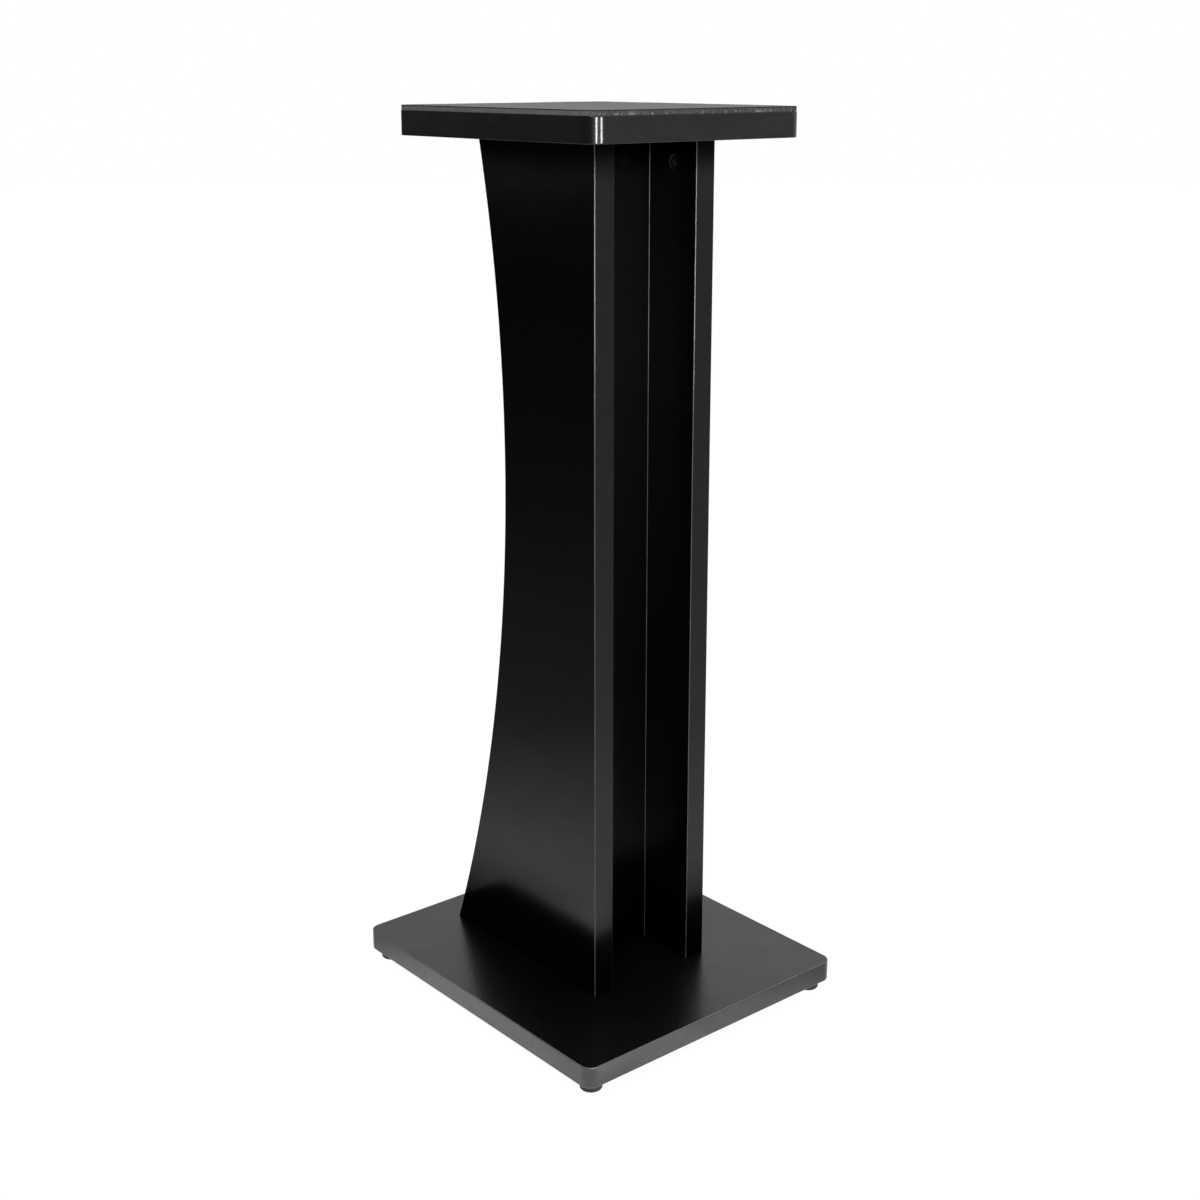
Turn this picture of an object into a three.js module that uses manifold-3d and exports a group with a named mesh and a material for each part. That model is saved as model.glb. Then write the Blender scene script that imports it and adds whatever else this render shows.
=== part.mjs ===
// A tall wooden loudspeaker stand, in millimetres, +Z up, -Y to the front. The origin lies on the
// floor under the middle of the base plate. Two side boards with a concave rear edge and a web
// panel between them carry the top plate, which four cam locks pull down onto the boards.

import * as THREE from "three";
import { mergeVertices } from "three/addons/utils/BufferGeometryUtils.js";
import Module from "manifold-3d";

const wasm = await Module();
wasm.setup();

// The stack, from the floor up.
const FOOT_HEIGHT = 11;
const BASE_THICKNESS = 22;
const COLUMN_HEIGHT = 852;
const TOP_THICKNESS = 24;
const PAD_THICKNESS = 5;

// The plates and the pad, seen from above.
const BASE_WIDTH = 337;
const BASE_DEPTH = 378;
const BASE_CORNER_RADIUS = 12;
const TOP_WIDTH = 260;
const TOP_DEPTH = 298;
const TOP_CORNER_RADIUS = 15;
const PAD_INSET = 0.5;
const EDGE_EASE = 1;

// The column. The waist is where the concave rear edge comes furthest forward.
const COLUMN_WIDTH = 150;
const BOARD_THICKNESS = 24;
const FRONT_SETOUT = 87; // from the middle of the base plate forward to the boards' front edges
const WAIST_DEPTH = 140;
const WAIST_HEIGHT = 528; // above the base plate
const REAR_EDGE_RADIUS = 1500;
const WEB_SETBACK = 66; // behind the boards' front edges
const WEB_THICKNESS = 18;

// Clearances: beside a piece that is let into another, and past the end of a blind hole.
const FIT = 0.3;
const END_ROOM = 0.5;

// Cam locks, and the ball-headed bolts that they grip.
const CAM_RADIUS = 7.4;
const CAM_DROP = 24; // below the top plate
const CAM_EDGE_INSET = 30; // from the board's front or rear edge
const CAM_AXIS_DEPTH = 9.5; // of the bolt's axis behind the board's inner face
const CAM_FACE_RECESS = 0.3;
const CAM_BACK_WALL = 1.2;
const CAM_TURN = Math.PI; // from locked to released, in radians
const CAM_BOLT_BALL_RADIUS = 3.5;
const CAM_BOLT_NECK_RADIUS = 2.2;
const CAM_BOLT_COLLAR_RADIUS = 4;
const CAM_BOLT_COLLAR_HEIGHT = 2;
const CAM_BOLT_THREAD_RADIUS = 2.8;
const CAM_BOLT_THREAD_LENGTH = 11;
const CROSS_LENGTH = 6; // of a cross recess for a screwdriver
const CROSS_WIDTH = 1.2;
const CROSS_DEPTH = 1.6;

// Countersunk bolts through the base plate, and the inserts they screw into.
const BASE_BOLT_RADIUS = 3;
const BASE_BOLT_HEAD_RADIUS = 6;
const BASE_BOLT_HEAD_RIM = 0.5;
const BASE_BOLT_SOCKET_RADIUS = 2.3; // to the corners of the hexagon
const BASE_BOLT_SOCKET_DEPTH = 2.5;
const BASE_BOLT_EDGE_INSET = 52;
const INSERT_RADIUS = 5;
const INSERT_LENGTH = 18;

// Dowels.
const DOWEL_RADIUS = 4;
const DOWEL_LENGTH = 35;
const DOWEL_CHAMFER = 1;
const DOWEL_IN_BOARD_SIDE = 15; // how far a web dowel reaches into a side board
const DOWEL_IN_PLATE = 14; // how far an upright dowel reaches into the base or top plate
const BASE_DOWEL_EDGE_INSET = 22;
const WEB_DOWEL_END_INSET = 60;
const WEB_DOWEL_COUNT = 3;

// Rubber feet, each with a washer and a screw.
const FOOT_INSET = 18; // from both edges of the base plate
const FOOT_RADIUS = 11.5;
const FOOT_BOTTOM_ROUND = 2.5;
const FOOT_FLANGE = 4; // rubber left above the screw's well
const FOOT_WELL_RADIUS = 5.5;
const WASHER_RADIUS = 5;
const WASHER_THICKNESS = 1;
const FOOT_SCREW_RADIUS = 1.9;
const FOOT_SCREW_HEAD_RADIUS = 4;
const FOOT_SCREW_HEAD_HEIGHT = 2.5;
const FOOT_SCREW_REACH = 14; // into the base plate

// How finely round shapes are cut.
const ROUND_SIDES = 24;
const SMALL_ROUND_SIDES = 12;
const CORNER_STEPS = 8;
const PROFILE_STEPS = 4;
const REAR_EDGE_STEPS = 24;
const EASE_STEPS = 2;
const OVERCUT = 2; // how far a cutting tool runs past a face
const QUARTER_TURN = Math.PI / 2;

// Levels and planes that follow from the sizes above.
const BASE_TOP = FOOT_HEIGHT + BASE_THICKNESS;
const COLUMN_TOP = BASE_TOP + COLUMN_HEIGHT;
const PLATFORM = COLUMN_TOP + TOP_THICKNESS;
const WAIST_Z = BASE_TOP + WAIST_HEIGHT;
const OUTER_X = COLUMN_WIDTH / 2;
const INNER_X = OUTER_X - BOARD_THICKNESS;
const BOARD_MIDDLE_X = OUTER_X - BOARD_THICKNESS / 2;
const CAM_BOLT_X = INNER_X + CAM_AXIS_DEPTH;
const FRONT_Y = -FRONT_SETOUT;
const REAR_ARC_Y = FRONT_Y + WAIST_DEPTH + REAR_EDGE_RADIUS;
const WEB_FRONT_Y = FRONT_Y + WEB_SETBACK;
const WEB_MIDDLE_Y = WEB_FRONT_Y + WEB_THICKNESS / 2;
const CAM_Z = COLUMN_TOP - CAM_DROP;
const CAM_LENGTH = CAM_AXIS_DEPTH - CAM_FACE_RECESS + CAM_BOLT_BALL_RADIUS + FIT + CAM_BACK_WALL;
const DOWEL_IN_WEB = DOWEL_LENGTH - DOWEL_IN_BOARD_SIDE;

// Where the pieces along a board's ends stand, from front to rear.
const rearY = (z) => REAR_ARC_Y - Math.sqrt(REAR_EDGE_RADIUS ** 2 - (z - WAIST_Z) ** 2);
const alongEnd = (z, inset) => ({ front: FRONT_Y + inset, rear: rearY(z) - inset });
const CAM_Y = alongEnd(COLUMN_TOP, CAM_EDGE_INSET);
const BASE_BOLT_Y = alongEnd(BASE_TOP, BASE_BOLT_EDGE_INSET);
const BASE_DOWEL_Y = alongEnd(BASE_TOP, BASE_DOWEL_EDGE_INSET);
const TOP_DOWEL_Y = (CAM_Y.front + CAM_Y.rear) / 2;
const WEB_DOWEL_LEVELS = Array.from({ length: WEB_DOWEL_COUNT }, (_, i) => {
  const span = COLUMN_HEIGHT - 2 * WEB_DOWEL_END_INSET;
  return BASE_TOP + WEB_DOWEL_END_INSET + (span * i) / (WEB_DOWEL_COUNT - 1);
});
const SIDES = { left: -1, right: 1 };
const ENDS = ["front", "rear"];

// Finishes.
const finish = (color, roughness, metalness) =>
  new THREE.MeshStandardMaterial({ color, roughness, metalness });
const blackBoard = () => finish(0x101010, 0.32, 0);
const greyFoam = () => finish(0x6e6e6e, 0.95, 0);
const blackRubber = () => finish(0x16160f, 0.7, 0);
const zincedSteel = () => finish(0xb4b6ba, 0.35, 0.9);
const castZinc = () => finish(0x8f9296, 0.45, 0.9);
const brass = () => finish(0xb5914a, 0.35, 0.9);
const beech = () => finish(0xc49a68, 0.7, 0);

// A closed three.js geometry as a solid, and a solid as a geometry again.
function solidOf(geometry) {
  const bare = geometry.clone();
  bare.deleteAttribute("normal");
  bare.deleteAttribute("uv");
  const merged = mergeVertices(bare, 1e-4);
  const mesh = new wasm.Mesh({
    numProp: 3,
    vertProperties: new Float32Array(merged.attributes.position.array),
    triVerts: new Uint32Array(merged.index.array),
  });
  return new wasm.Manifold(mesh);
}

function geometryOf(solid) {
  const mesh = solid.getMesh();
  const geometry = new THREE.BufferGeometry();
  geometry.setAttribute("position", new THREE.BufferAttribute(mesh.vertProperties, 3));
  geometry.setIndex(new THREE.BufferAttribute(mesh.triVerts, 1));
  return geometry;
}

const cut = (body, tools) => tools.reduce((left, tool) => left.subtract(tool), body);

// A box between two corners.
function block([x0, y0, z0], [x1, y1, z1]) {
  const box = new THREE.BoxGeometry(x1 - x0, y1 - y0, z1 - z0);
  return box.translate((x0 + x1) / 2, (y0 + y1) / 2, (z0 + z1) / 2);
}

// A body turned about +Z from a profile of [radius, height] points, listed upwards on the outside.
function turned(profile, sides) {
  const points = profile.map(([radius, height]) => new THREE.Vector2(radius, height));
  return new THREE.LatheGeometry(points, sides).rotateX(QUARTER_TURN);
}

// A round bar along +Z or, turned over, along +X, from one end to the other.
function upright(radius, [x, y], from, to, sides = SMALL_ROUND_SIDES) {
  const bar = new THREE.CylinderGeometry(radius, radius, to - from, sides);
  return bar.rotateX(QUARTER_TURN).translate(x, y, (from + to) / 2);
}

function crossways(radius, [y, z], from, to, sides = SMALL_ROUND_SIDES) {
  const bar = new THREE.CylinderGeometry(radius, radius, Math.abs(to - from), sides);
  return bar.rotateZ(QUARTER_TURN).translate((from + to) / 2, y, z);
}

// A flat outline carried through a thickness, its edges eased at both faces.
function plate(outline, thickness, ease, curveSegments) {
  const geometry = new THREE.ExtrudeGeometry(outline, {
    depth: thickness - 2 * ease,
    curveSegments,
    bevelEnabled: ease > 0,
    bevelThickness: ease,
    bevelSize: ease,
    bevelOffset: -ease,
    bevelSegments: EASE_STEPS,
  });
  return geometry.translate(0, 0, ease);
}

function roundedRectangle(width, depth, radius) {
  const [x, y] = [width / 2 - radius, depth / 2 - radius];
  const outline = new THREE.Shape();
  const corners = [[x, y], [-x, y], [-x, -y], [x, -y]];
  corners.forEach(([u, v], i) => outline.absarc(u, v, radius, i * QUARTER_TURN, (i + 1) * QUARTER_TURN));
  return outline;
}

// Where each foot stands, seen from above.
const FOOT_PLACES = ENDS.flatMap((end) =>
  Object.entries(SIDES).map(([side, sign]) => {
    const y = BASE_DEPTH / 2 - FOOT_INSET;
    return { name: `${end}_${side}`, x: sign * (BASE_WIDTH / 2 - FOOT_INSET), y: end === "front" ? -y : y };
  }),
);

// The places, one at the front and one at the rear of each side board, of one kind of fitting.
const boardPlaces = (x, ys) =>
  ENDS.flatMap((end) =>
    Object.entries(SIDES).map(([side, sign]) => {
      return { name: `${end}_${side}`, x: sign * x, y: ys[end], side, sign };
    }),
  );
const CAM_PLACES = boardPlaces(CAM_BOLT_X, CAM_Y);
const BASE_BOLT_PLACES = boardPlaces(BOARD_MIDDLE_X, BASE_BOLT_Y);
const BASE_DOWEL_PLACES = boardPlaces(BOARD_MIDDLE_X, BASE_DOWEL_Y);

// A countersunk bolt standing on its head at height 0, or with room round it the hole for one.
function countersunk(length, room) {
  const head = BASE_BOLT_HEAD_RADIUS + room;
  const shank = BASE_BOLT_RADIUS + room;
  const below = room > 0 ? -OVERCUT : 0;
  const neck = BASE_BOLT_HEAD_RIM + room + (head - shank);
  const profile = [[0, below], [head, below], [head, BASE_BOLT_HEAD_RIM + room], [shank, neck]];
  return turned([...profile, [shank, length], [0, length]], SMALL_ROUND_SIDES);
}

function basePlate() {
  const outline = roundedRectangle(BASE_WIDTH, BASE_DEPTH, BASE_CORNER_RADIUS);
  const body = plate(outline, BASE_THICKNESS, EDGE_EASE, CORNER_STEPS).translate(0, 0, FOOT_HEIGHT);
  const boltHoles = BASE_BOLT_PLACES.map(({ x, y }) =>
    countersunk(BASE_THICKNESS + OVERCUT, FIT).translate(x, y, FOOT_HEIGHT),
  );
  const dowelHoles = BASE_DOWEL_PLACES.map(({ x, y }) =>
    upright(DOWEL_RADIUS + FIT, [x, y], BASE_TOP - DOWEL_IN_PLATE - END_ROOM, BASE_TOP + OVERCUT),
  );
  const pilot = FOOT_HEIGHT + FOOT_SCREW_REACH + END_ROOM;
  const pilotHoles = FOOT_PLACES.map(({ x, y }) =>
    upright(FOOT_SCREW_RADIUS + FIT, [x, y], FOOT_HEIGHT - OVERCUT, pilot),
  );
  return cut(solidOf(body), [...boltHoles, ...dowelHoles, ...pilotHoles].map(solidOf));
}

function topPlate() {
  const outline = roundedRectangle(TOP_WIDTH, TOP_DEPTH, TOP_CORNER_RADIUS);
  const body = plate(outline, TOP_THICKNESS, EDGE_EASE, CORNER_STEPS).translate(0, 0, COLUMN_TOP);
  const threadTop = COLUMN_TOP + CAM_BOLT_THREAD_LENGTH + END_ROOM;
  const threadHoles = CAM_PLACES.map(({ x, y }) =>
    upright(CAM_BOLT_THREAD_RADIUS + FIT, [x, y], COLUMN_TOP - OVERCUT, threadTop),
  );
  const dowelTop = COLUMN_TOP + DOWEL_IN_PLATE + END_ROOM;
  const dowelHoles = Object.values(SIDES).map((sign) =>
    upright(DOWEL_RADIUS + FIT, [sign * BOARD_MIDDLE_X, TOP_DOWEL_Y], COLUMN_TOP - OVERCUT, dowelTop),
  );
  return cut(solidOf(body), [...threadHoles, ...dowelHoles].map(solidOf));
}

function topPad() {
  const [width, depth] = [TOP_WIDTH - 2 * PAD_INSET, TOP_DEPTH - 2 * PAD_INSET];
  const outline = roundedRectangle(width, depth, TOP_CORNER_RADIUS - PAD_INSET);
  return plate(outline, PAD_THICKNESS, 0, CORNER_STEPS).translate(0, 0, PLATFORM);
}

// A side board's outline as [y, z]: straight front edge, arc rear edge, run on past both ends.
function boardOutline() {
  const [low, high] = [BASE_TOP - OVERCUT, COLUMN_TOP + OVERCUT];
  const angleAt = (z) => Math.PI - Math.asin((z - WAIST_Z) / REAR_EDGE_RADIUS);
  const outline = new THREE.Shape();
  outline.absarc(REAR_ARC_Y, WAIST_Z, REAR_EDGE_RADIUS, angleAt(low), angleAt(high), true);
  outline.lineTo(FRONT_Y, high);
  outline.lineTo(FRONT_Y, low);
  return outline;
}

function sideBoard(side, sign) {
  const long = plate(boardOutline(), BOARD_THICKNESS, EDGE_EASE, REAR_EDGE_STEPS);
  long.rotateY(QUARTER_TURN).rotateX(QUARTER_TURN).translate(sign > 0 ? INNER_X : -OUTER_X, 0, 0);
  const [ahead, behind] = [FRONT_Y - OVERCUT, rearY(BASE_TOP) + BOARD_THICKNESS];
  const length = block([-COLUMN_WIDTH, ahead, BASE_TOP], [COLUMN_WIDTH, behind, COLUMN_TOP]);

  const [face, bottom] = [INNER_X - OVERCUT, INNER_X + CAM_FACE_RECESS + CAM_LENGTH + END_ROOM];
  const own = (place) => place.side === side;
  const camHoles = CAM_PLACES.filter(own).flatMap(({ x, y }) => [
    crossways(CAM_RADIUS + FIT, [y, CAM_Z], sign * face, sign * bottom, ROUND_SIDES),
    upright(CAM_BOLT_COLLAR_RADIUS + FIT, [x, y], CAM_Z, COLUMN_TOP + OVERCUT),
  ]);
  const insertHoles = BASE_BOLT_PLACES.filter(own).map(({ x, y }) =>
    upright(INSERT_RADIUS + FIT, [x, y], BASE_TOP - OVERCUT, BASE_TOP + INSERT_LENGTH + END_ROOM),
  );
  const inEnd = DOWEL_LENGTH - DOWEL_IN_PLATE + END_ROOM;
  const baseDowelHoles = BASE_DOWEL_PLACES.filter(own).map(({ x, y }) =>
    upright(DOWEL_RADIUS + FIT, [x, y], BASE_TOP - OVERCUT, BASE_TOP + inEnd),
  );
  const topDowelPlace = [sign * BOARD_MIDDLE_X, TOP_DOWEL_Y];
  const topDowelHole = upright(DOWEL_RADIUS + FIT, topDowelPlace, COLUMN_TOP - inEnd, COLUMN_TOP + OVERCUT);
  const webDowelHoles = WEB_DOWEL_LEVELS.map((z) => {
    const end = INNER_X + DOWEL_IN_BOARD_SIDE + END_ROOM;
    return crossways(DOWEL_RADIUS + FIT, [WEB_MIDDLE_Y, z], sign * face, sign * end);
  });
  const tools = [...camHoles, ...insertHoles, ...baseDowelHoles, topDowelHole, ...webDowelHoles];
  return cut(solidOf(long).intersect(solidOf(length)), tools.map(solidOf));
}

function webPanel() {
  const front = [-INNER_X, WEB_FRONT_Y, BASE_TOP];
  const rear = [INNER_X, WEB_FRONT_Y + WEB_THICKNESS, COLUMN_TOP];
  const holes = WEB_DOWEL_LEVELS.flatMap((z) =>
    Object.values(SIDES).map((sign) => {
      const [mouth, end] = [INNER_X + OVERCUT, INNER_X - DOWEL_IN_WEB - END_ROOM];
      return crossways(DOWEL_RADIUS + FIT, [WEB_MIDDLE_Y, z], sign * mouth, sign * end);
    }),
  );
  return cut(solidOf(block(front, rear)), holes.map(solidOf));
}

// A cross recess from height 0 downwards.
const crossRecess = () => {
  const [long, wide] = [CROSS_LENGTH / 2, CROSS_WIDTH / 2];
  const along = block([-long, -wide, -CROSS_DEPTH], [long, wide, OVERCUT]);
  const across = block([-wide, -long, -CROSS_DEPTH], [wide, long, OVERCUT]);
  return solidOf(along).add(solidOf(across));
};

// A cam lock with its face at height 0, looking along +Z, and its body below. Locked, the bolt comes
// in along +Y; the mouth that lets its ball in and out then points along -Y, and a slot for its neck
// runs round between them on the +X side. The ball sits in a chamber on the cam's axis.
function camLock() {
  const axisLevel = CAM_FACE_RECESS - CAM_AXIS_DEPTH;
  const chamber = CAM_BOLT_BALL_RADIUS + FIT;
  const neck = CAM_BOLT_NECK_RADIUS + FIT;
  const reach = CAM_RADIUS + OVERCUT;
  const body = upright(CAM_RADIUS, [0, 0], -CAM_LENGTH, 0, ROUND_SIDES);
  const hollow = upright(chamber, [0, 0], axisLevel - chamber, axisLevel + chamber);
  const mouth = block([-chamber, -reach, axisLevel - chamber], [chamber, 0, axisLevel + chamber]);
  const seat = block([-neck, 0, axisLevel - neck], [neck, reach, axisLevel + neck]);
  const sweep = new THREE.Shape();
  sweep.absarc(0, 0, reach, QUARTER_TURN - CAM_TURN, QUARTER_TURN);
  sweep.lineTo(0, 0);
  const slot = new THREE.ExtrudeGeometry(sweep, {
    depth: 2 * neck,
    bevelEnabled: false,
    curveSegments: SMALL_ROUND_SIDES,
  }).translate(0, 0, axisLevel - neck);
  return cut(solidOf(body), [...[hollow, mouth, seat, slot].map(solidOf), crossRecess()]);
}

// A cam bolt, its collar against the top plate's underside at height 0 and its ball hanging below.
function camBolt() {
  const ball = CAM_BOLT_BALL_RADIUS;
  const neck = CAM_BOLT_NECK_RADIUS;
  const shoulder = Math.asin(neck / ball);
  const steps = 2 * PROFILE_STEPS;
  const round = Array.from({ length: steps + 1 }, (_, i) => {
    const angle = (i * (Math.PI - shoulder)) / steps;
    return [ball * Math.sin(angle), -CAM_DROP - ball * Math.cos(angle)];
  });
  const collar = [[neck, -CAM_BOLT_COLLAR_HEIGHT], [CAM_BOLT_COLLAR_RADIUS, -CAM_BOLT_COLLAR_HEIGHT]];
  const thread = [[CAM_BOLT_COLLAR_RADIUS, 0], [CAM_BOLT_THREAD_RADIUS, 0]];
  const tip = [[CAM_BOLT_THREAD_RADIUS, CAM_BOLT_THREAD_LENGTH], [0, CAM_BOLT_THREAD_LENGTH]];
  return turned([...round, ...collar, ...thread, ...tip], SMALL_ROUND_SIDES);
}

function baseBolt() {
  const socket = upright(BASE_BOLT_SOCKET_RADIUS, [0, 0], -OVERCUT, BASE_BOLT_SOCKET_DEPTH, 6);
  return cut(solidOf(countersunk(BASE_THICKNESS + INSERT_LENGTH, 0)), [solidOf(socket)]);
}

// A ring between two radii and two heights.
const ring = (inner, outer, low, high) =>
  turned([[inner, low], [outer, low], [outer, high], [inner, high], [inner, low]], SMALL_ROUND_SIDES);

// A dowel along +Z, its middle at height 0, with chamfered ends.
function dowel() {
  const [half, tip] = [DOWEL_LENGTH / 2, DOWEL_RADIUS - DOWEL_CHAMFER];
  const lower = [[0, -half], [tip, -half], [DOWEL_RADIUS, DOWEL_CHAMFER - half]];
  const upper = [[DOWEL_RADIUS, half - DOWEL_CHAMFER], [tip, half], [0, half]];
  return turned([...lower, ...upper], SMALL_ROUND_SIDES);
}

// A rubber foot from the floor up to the base plate, with a well for its screw.
function foot() {
  const hole = FOOT_SCREW_RADIUS + FIT;
  const wellTop = FOOT_HEIGHT - FOOT_FLANGE;
  const rounded = Array.from({ length: PROFILE_STEPS + 1 }, (_, i) => {
    const angle = (i * QUARTER_TURN) / PROFILE_STEPS;
    const inset = FOOT_BOTTOM_ROUND * (1 - Math.sin(angle));
    return [FOOT_RADIUS - inset, FOOT_BOTTOM_ROUND * (1 - Math.cos(angle))];
  });
  const top = [[FOOT_RADIUS, FOOT_HEIGHT], [hole, FOOT_HEIGHT], [hole, wellTop]];
  const well = [[FOOT_WELL_RADIUS, wellTop], [FOOT_WELL_RADIUS, 0]];
  return turned([[FOOT_WELL_RADIUS, 0], ...rounded, ...top, ...well], ROUND_SIDES);
}

// A foot's screw, point up, its head against the washer in the well.
function footScrew() {
  const headTop = FOOT_HEIGHT - FOOT_FLANGE - WASHER_THICKNESS;
  const headBottom = headTop - FOOT_SCREW_HEAD_HEIGHT;
  const tip = FOOT_HEIGHT + FOOT_SCREW_REACH;
  const head = [[0, headBottom], [FOOT_SCREW_HEAD_RADIUS, headBottom], [FOOT_SCREW_HEAD_RADIUS, headTop]];
  const shank = [[FOOT_SCREW_RADIUS, headTop], [FOOT_SCREW_RADIUS, tip - FOOT_SCREW_RADIUS], [0, tip]];
  const recess = crossRecess().rotate([180, 0, 0]).translate([0, 0, headBottom]);
  return solidOf(turned([...head, ...shank], SMALL_ROUND_SIDES)).subtract(recess);
}

// The assembly.
function named(name, shape, material) {
  const mesh = new THREE.Mesh(shape.isBufferGeometry ? shape : geometryOf(shape), material);
  mesh.name = name;
  return mesh;
}

function placed(object, x, y, z) {
  object.position.set(x, y, z);
  return object;
}

const stand = new THREE.Group();

stand.add(named("base_plate", basePlate(), blackBoard()));
stand.add(named("top_plate", topPlate(), blackBoard()));
stand.add(named("top_pad", topPad(), greyFoam()));

const column = new THREE.Group();
column.add(named("web_panel", webPanel(), blackBoard()));
for (const [side, sign] of Object.entries(SIDES)) {
  column.add(named(`side_board_${side}`, sideBoard(side, sign), blackBoard()));
}
stand.add(column);

for (const { name, x, y } of FOOT_PLACES) {
  const corner = new THREE.Group();
  const wellTop = FOOT_HEIGHT - FOOT_FLANGE;
  const washer = ring(FOOT_SCREW_RADIUS + FIT, WASHER_RADIUS, wellTop - WASHER_THICKNESS, wellTop);
  corner.add(named(`foot_${name}`, foot(), blackRubber()));
  corner.add(named(`foot_washer_${name}`, washer, zincedSteel()));
  corner.add(named(`foot_screw_${name}`, footScrew(), zincedSteel()));
  stand.add(placed(corner, x, y, 0));
}

// A cam faces the space between the boards: its +Z turns to the board's inward normal, its +Y up.
for (const { name, x, y, sign } of CAM_PLACES) {
  const cam = named(`cam_lock_${name}`, camLock(), castZinc());
  cam.rotation.set(QUARTER_TURN, -sign * QUARTER_TURN, 0);
  column.add(placed(cam, sign * (INNER_X + CAM_FACE_RECESS), y, CAM_Z));
  column.add(placed(named(`cam_bolt_${name}`, camBolt(), zincedSteel()), x, y, COLUMN_TOP));
}

for (const { name, x, y } of BASE_BOLT_PLACES) {
  const insert = ring(BASE_BOLT_RADIUS + FIT, INSERT_RADIUS, 0, INSERT_LENGTH);
  column.add(placed(named(`threaded_insert_${name}`, insert, brass()), x, y, BASE_TOP));
  column.add(placed(named(`base_bolt_${name}`, baseBolt(), zincedSteel()), x, y, FOOT_HEIGHT));
}

const intoEnd = DOWEL_LENGTH / 2 - DOWEL_IN_PLATE;
for (const { name, x, y } of BASE_DOWEL_PLACES) {
  column.add(placed(named(`dowel_base_${name}`, dowel(), beech()), x, y, BASE_TOP + intoEnd));
}
for (const [side, sign] of Object.entries(SIDES)) {
  const top = named(`dowel_top_${side}`, dowel(), beech());
  column.add(placed(top, sign * BOARD_MIDDLE_X, TOP_DOWEL_Y, COLUMN_TOP - intoEnd));
  WEB_DOWEL_LEVELS.forEach((z, i) => {
    const across = named(`dowel_web_${side}_${i + 1}`, dowel(), beech());
    across.rotation.y = QUARTER_TURN;
    const middle = INNER_X + DOWEL_IN_BOARD_SIDE - DOWEL_LENGTH / 2;
    column.add(placed(across, sign * middle, WEB_MIDDLE_Y, z));
  });
}

export default stand;
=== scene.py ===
"""The looks of a tall black wooden speaker stand, built round its packed construction model.

Run as a script, it makes every visible piece, its finish, a plain white studio and the camera.
Sizes are in metres and angles in radians. Places are in the stand's own frame: the origin on the
floor under the middle of the base plate, +Z up and -Y to the front.
"""

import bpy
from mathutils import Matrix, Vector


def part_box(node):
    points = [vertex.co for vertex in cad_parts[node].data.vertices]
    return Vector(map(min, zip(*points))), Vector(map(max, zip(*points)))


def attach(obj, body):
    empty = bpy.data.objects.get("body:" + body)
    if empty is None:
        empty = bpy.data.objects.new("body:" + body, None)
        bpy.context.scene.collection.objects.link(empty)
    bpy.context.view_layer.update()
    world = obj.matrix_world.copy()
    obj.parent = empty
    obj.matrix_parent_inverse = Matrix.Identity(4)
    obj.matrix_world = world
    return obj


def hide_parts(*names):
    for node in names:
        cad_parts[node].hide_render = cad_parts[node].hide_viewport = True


bl_info = {
    "name": "Speaker Stand",
    "version": (1, 0, 0),
    "blender": (4, 5, 0),
    "location": "3D View > Sidebar > Speaker Stand",
    "description": "Builds a black wooden speaker stand, its foam pad, feet and fittings, and a studio",
    "category": "Object",
}

import math

import bmesh
import bpy
import numpy as np
from bpy.props import FloatProperty, FloatVectorProperty, IntProperty, PointerProperty
from mathutils.geometry import tessellate_polygon

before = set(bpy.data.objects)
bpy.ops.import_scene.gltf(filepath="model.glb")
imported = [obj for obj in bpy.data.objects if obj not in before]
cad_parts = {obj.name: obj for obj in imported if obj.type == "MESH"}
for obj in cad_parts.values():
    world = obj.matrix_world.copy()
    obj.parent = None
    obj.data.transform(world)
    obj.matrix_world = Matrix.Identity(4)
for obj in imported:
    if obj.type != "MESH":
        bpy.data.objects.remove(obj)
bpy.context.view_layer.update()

BODY = "stand"
WHITE = (1.0, 1.0, 1.0, 1.0)
SIDES = {"left": -1, "right": 1}
ENDS = {"front": -1, "rear": 1}
PLACES = [f"{end}_{side}" for end in ENDS for side in SIDES]
MERGE_STEP = 1e-7  # corners closer than this are one corner
TINY = 1e-12  # keeps a division by a length from failing
FULL_TURN = 2 * math.pi
QUARTER_TURN = math.pi / 2


# ---------------------------------------------------------------- settings that a user would change


def amount(label, description, default, **kind):
    return FloatProperty(name=label, description=description, default=default, min=0.0, **kind)


def length(label, description, default):
    return amount(label, description, default, unit="LENGTH")


def watts(label, description, default):
    return amount(label, description, default, unit="POWER")


def factor(label, description, default):
    return amount(label, description, default, subtype="FACTOR")


def divisions(label, description, default, least=1):
    return IntProperty(name=label, description=description, default=default, min=least)


def colour(label, description, default):
    return FloatVectorProperty(
        name=label, description=description, default=default, min=0.0, max=1.0, size=3, subtype="COLOR"
    )


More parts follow.
